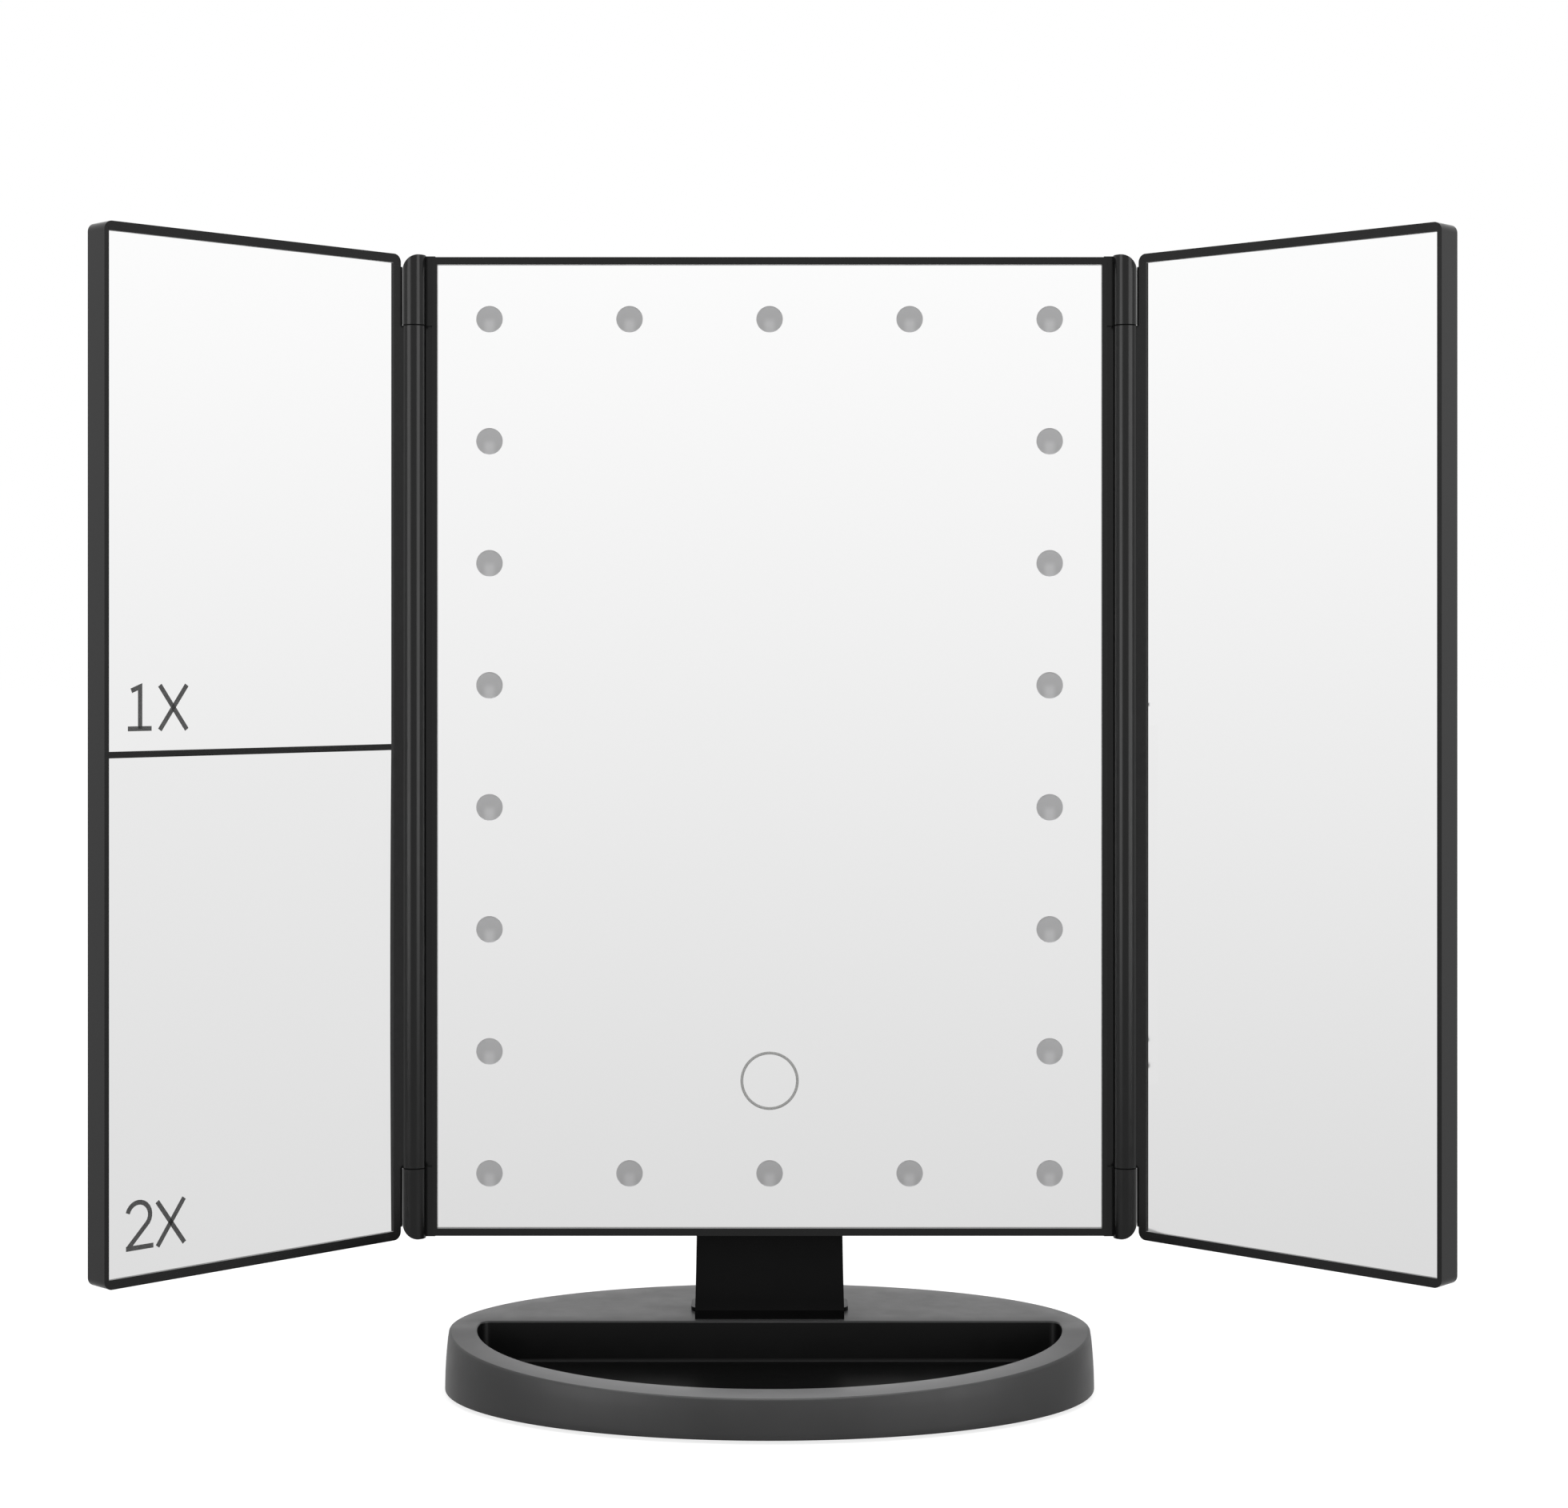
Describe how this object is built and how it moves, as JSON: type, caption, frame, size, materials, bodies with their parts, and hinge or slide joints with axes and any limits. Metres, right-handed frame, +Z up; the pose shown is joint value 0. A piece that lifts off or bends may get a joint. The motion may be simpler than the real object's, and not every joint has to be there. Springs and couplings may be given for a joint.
{
  "type": "trifold vanity mirror",
  "caption": "Free-standing lit make-up mirror: a centre panel with ringed touch mark and light windows, two folding side mirrors, a tilting neck and an oval base with a half-moon tray.",
  "frame": {"origin": "on the table under the base's oval, in the plane of the two wing hinges, on the rubber foot ring's lower face plane", "axes": "+X to the right of someone who looks into the mirror, +Y away from them, +Z up; the mirrors face -Y"},
  "size_m": [0.3096, 0.1119, 0.2776],
  "materials": {
    "case_plastic": "satin black moulded ABS",
    "foot_rubber": "matt black rubber",
    "weight_iron": "plain steel plate",
    "screw_steel": "zinc-plated steel",
    "hinge_steel": "bright steel",
    "mirror_glass": "silvered float glass",
    "frosted_glass": "etched frosted windows in the mirror glass",
    "printed_mark": "grey line of the touch mark",
    "foam_tape": "white double-sided foam tape",
    "light_board": "white solder mask",
    "diode": "white package with yellow phosphor",
    "copper": "bare copper",
    "circuit_board": "green solder mask",
    "chip": "black epoxy packages",
    "wire": "red insulated wire",
    "socket_steel": "plated sheet steel",
    "knob_plastic": "off-white moulded plastic",
    "cell_sleeve": "plain printed battery sleeve"
  },
  "bodies": {
    "stand": {"base_shell": "case_plastic", "base_cover": "case_plastic", "foot_ring": "foot_rubber", "counterweight": "weight_iron", "base_screws": "screw_steel", "weight_screws": "screw_steel", "neck_shell": "case_plastic", "neck_cover": "case_plastic", "neck_screws": "screw_steel", "neck_cover_screws": "screw_steel", "tilt_washers": "hinge_steel"},
    "head": {"tilt_pin": "hinge_steel", "tilt_nut": "hinge_steel", "centre_frame": "case_plastic", "back_cover": "case_plastic", "cover_screws": "screw_steel", "centre_mirror": "mirror_glass", "light_windows": "frosted_glass", "touch_mark": "printed_mark", "centre_tape": "foam_tape", "light_boards": "light_board", "light_diodes": "diode", "touch_sensor": "copper", "control_board": "circuit_board", "control_chips": "chip", "wires": "wire", "power_socket": "socket_steel", "switch_body": "socket_steel", "battery_tray": "case_plastic", "battery_contacts": "screw_steel", "batteries": "cell_sleeve", "left_hinge_pins": "hinge_steel", "right_hinge_pins": "hinge_steel"},
    "left_wing": {"left_frame": "case_plastic", "left_back": "case_plastic", "left_mirror_upper": "mirror_glass", "left_mirror_lower": "mirror_glass", "left_divider": "case_plastic", "left_tape": "foam_tape"},
    "right_wing": {"right_frame": "case_plastic", "right_back": "case_plastic", "right_mirror": "mirror_glass", "right_tape": "foam_tape"},
    "battery_door": {"battery_door": "case_plastic"},
    "power_switch": {"switch_knob": "knob_plastic"}
  },
  "joints": [
    {"name": "head_tilt", "type": "hinge", "parent": "stand", "child": "head", "pos_m": [0, 0.022, 0.0599], "axis": [-1, 0, 0], "range_deg": [-10, 45]},
    {"name": "left_wing_fold", "type": "hinge", "parent": "head", "child": "left_wing", "pos_m": [-0.0869, 0, 0.1576], "axis": [0, 0, 1], "range_deg": [-44.5, 135.5]},
    {"name": "right_wing_fold", "type": "hinge", "parent": "head", "child": "right_wing", "pos_m": [0.0869, 0, 0.1576], "axis": [0, 0, -1], "range_deg": [-42.5, 137.5]},
    {"name": "battery_door_lift", "type": "slide", "parent": "head", "child": "battery_door", "axis": [0, 1, 0], "range_m": [0, 0.03]},
    {"name": "power_switch_slide", "type": "slide", "parent": "head", "child": "power_switch", "axis": [1, 0, 0], "range_m": [0, 0.003]}
  ]
}
